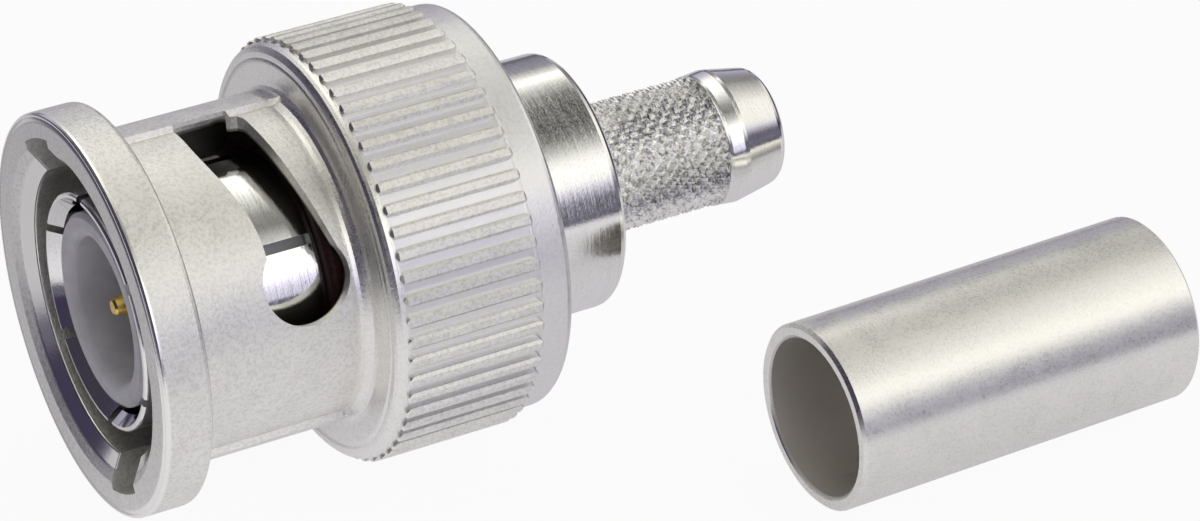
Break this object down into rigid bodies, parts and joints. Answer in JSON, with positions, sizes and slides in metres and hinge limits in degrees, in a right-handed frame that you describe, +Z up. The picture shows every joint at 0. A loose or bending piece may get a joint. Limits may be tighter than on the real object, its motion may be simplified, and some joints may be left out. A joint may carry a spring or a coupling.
{
  "type": "bnc connector",
  "caption": "Bayonet coaxial crimp plug with a turning ribbed coupling nut, a knurled crimp stem and a loose crimp ferrule lying beside it.",
  "frame": {"origin": "under the middle of plug and ferrule together, on the surface they lie on", "axes": "+X along the plug's axis from the mating face to the cable end, +Z up, and the ferrule lies on the -Y side"},
  "size_m": [0.0346, 0.0218, 0.0146],
  "materials": {
    "nut_nickel": "satin nickel plate",
    "body_nickel": "bright turned nickel plate",
    "contact_nickel": "bright nickel plate",
    "ptfe": "waxy white",
    "gold": "gold plate",
    "silicone": "matt dark red",
    "spring_steel": "bright rolled",
    "ferrule_nickel": "satin nickel plate"
  },
  "bodies": {
    "plug": {"plug_body": "body_nickel", "outer_contact": "contact_nickel", "insulator": "ptfe", "centre_pin": "gold", "gasket": "silicone", "retaining_ring": "spring_steel", "wave_washer_front": "spring_steel", "wave_washer_rear": "spring_steel", "crimp_ferrule": "ferrule_nickel"},
    "thrust": {"thrust_washer": "spring_steel"},
    "nut": {"coupling_nut": "nut_nickel"}
  },
  "joints": [
    {"name": "nut_slide", "type": "slide", "parent": "plug", "child": "thrust", "axis": [-1, 0, 0], "range_m": [0, 0.0005], "stiffness_N_per_m": 10000, "springref_m": -0.0003, "deforming": ["wave_washer_front", "wave_washer_rear"]},
    {"name": "nut_turn", "type": "hinge", "parent": "thrust", "child": "nut", "pos_m": [-0.00909, 0.00361, 0.0073], "axis": [1, 0, 0], "continuous": true}
  ]
}
